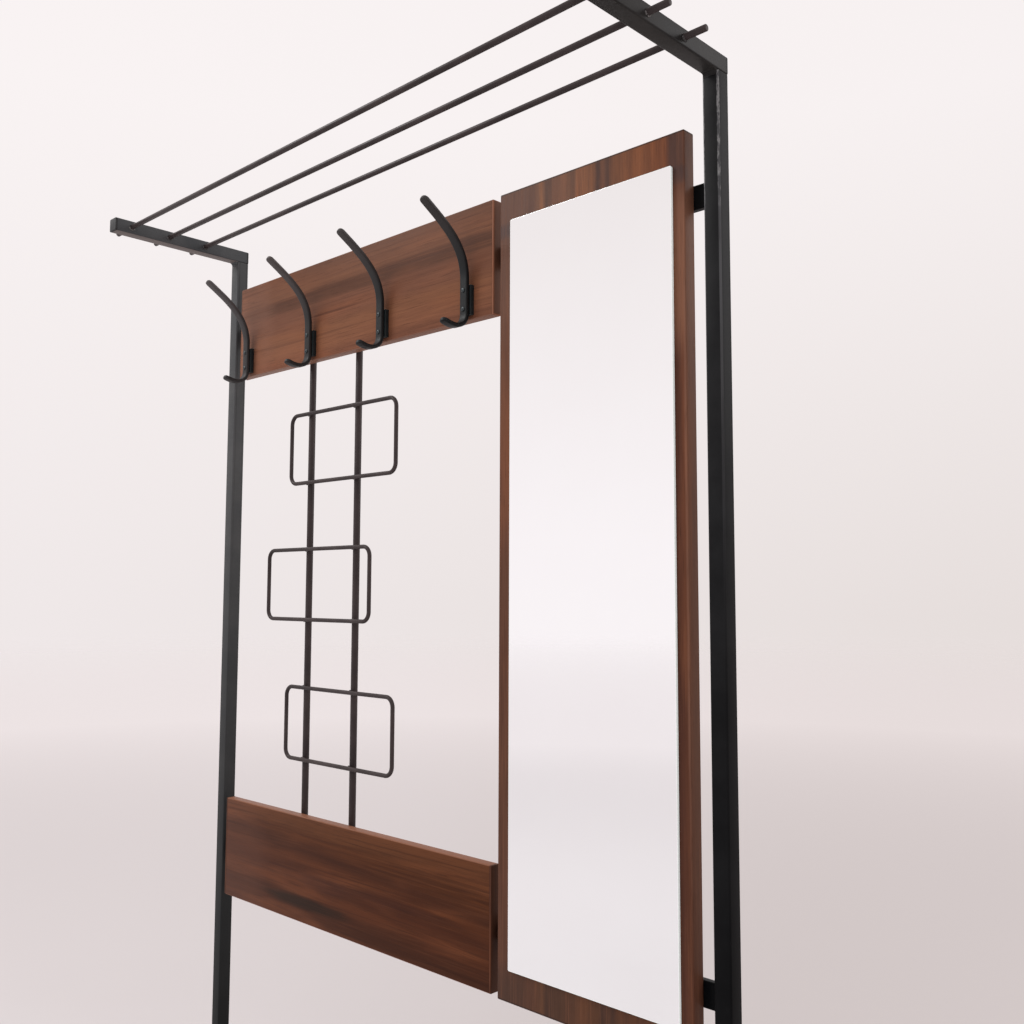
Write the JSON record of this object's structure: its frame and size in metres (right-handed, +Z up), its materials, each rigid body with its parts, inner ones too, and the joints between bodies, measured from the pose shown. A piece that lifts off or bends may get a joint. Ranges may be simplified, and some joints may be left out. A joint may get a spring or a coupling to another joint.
{
  "type": "hall tree",
  "caption": "Free-standing hall tree: steel frame with hat rods over the top, a wooden board of coat hooks, a wire loop rack and a tall mirror on a wooden panel.",
  "frame": {"origin": "centre of the footprint of the overall box, on the floor", "axes": "+X to the right when facing the hooks and the mirror, +Y back towards the wall, +Z up"},
  "size_m": [1.11, 0.3, 1.851],
  "materials": {
    "frame_lacquer": "satin black lacquer over square and rectangular steel tube, lightly worn on the edges",
    "rod_lacquer": "satin black lacquer on round steel rod and wire",
    "hook_iron": "blue-black satin finish on bent flat steel bar",
    "hook_screw_steel": "blackened steel, slightly bright on the head",
    "fixing_steel": "zinc plated",
    "end_plastic": "matt black moulded plastic",
    "board_wood": "reddish brown stained wood, streaky grain along the board, satin",
    "lipping_wood": "lighter reddish brown wood strip, satin",
    "panel_wood": "darker brown stained wood, upright grain, satin",
    "mirror_glass": "clear silvered glass with a thin polished edge"
  },
  "bodies": {
    "root": {"left_upright": "frame_lacquer", "left_hat_arm": "frame_lacquer", "left_foot_bar": "frame_lacquer", "left_arm_front_cap": "end_plastic", "left_arm_rear_cap": "end_plastic", "left_foot_front_cap": "end_plastic", "left_foot_rear_cap": "end_plastic", "left_rear_glide": "end_plastic", "left_front_glide": "end_plastic", "right_upright": "frame_lacquer", "right_hat_arm": "frame_lacquer", "right_foot_bar": "frame_lacquer", "right_arm_front_cap": "end_plastic", "right_arm_rear_cap": "end_plastic", "right_foot_front_cap": "end_plastic", "right_foot_rear_cap": "end_plastic", "right_rear_glide": "end_plastic", "right_front_glide": "end_plastic", "hat_rod_front": "rod_lacquer", "hat_rod_middle": "rod_lacquer", "hat_rod_rear": "rod_lacquer", "upper_crossbar": "frame_lacquer", "lower_crossbar": "frame_lacquer", "hook_board": "board_wood", "hook_board_left_lipping": "lipping_wood", "hook_board_right_lipping": "lipping_wood", "lower_board": "board_wood", "lower_board_left_lipping": "lipping_wood", "lower_board_right_lipping": "lipping_wood", "hook_board_screw_left": "fixing_steel", "hook_board_screw_right": "fixing_steel", "lower_board_screw_left": "fixing_steel", "lower_board_screw_right": "fixing_steel", "panel_top_screw_left": "fixing_steel", "panel_top_screw_right": "fixing_steel", "panel_bottom_screw_left": "fixing_steel", "panel_bottom_screw_right": "fixing_steel", "mirror_panel": "panel_wood", "mirror_glass": "mirror_glass", "hook_1_bar": "hook_iron", "hook_1_spacer": "hook_iron", "hook_1_upper_screw": "hook_screw_steel", "hook_1_lower_screw": "hook_screw_steel", "hook_2_bar": "hook_iron", "hook_2_spacer": "hook_iron", "hook_2_upper_screw": "hook_screw_steel", "hook_2_lower_screw": "hook_screw_steel", "hook_3_bar": "hook_iron", "hook_3_spacer": "hook_iron", "hook_3_upper_screw": "hook_screw_steel", "hook_3_lower_screw": "hook_screw_steel", "hook_4_bar": "hook_iron", "hook_4_spacer": "hook_iron", "hook_4_upper_screw": "hook_screw_steel", "hook_4_lower_screw": "hook_screw_steel", "rack_rod_left": "rod_lacquer", "rack_rod_right": "rod_lacquer", "rack_loop_upper": "rod_lacquer", "rack_loop_middle": "rod_lacquer", "rack_loop_lower": "rod_lacquer"}
  },
  "joints": []
}
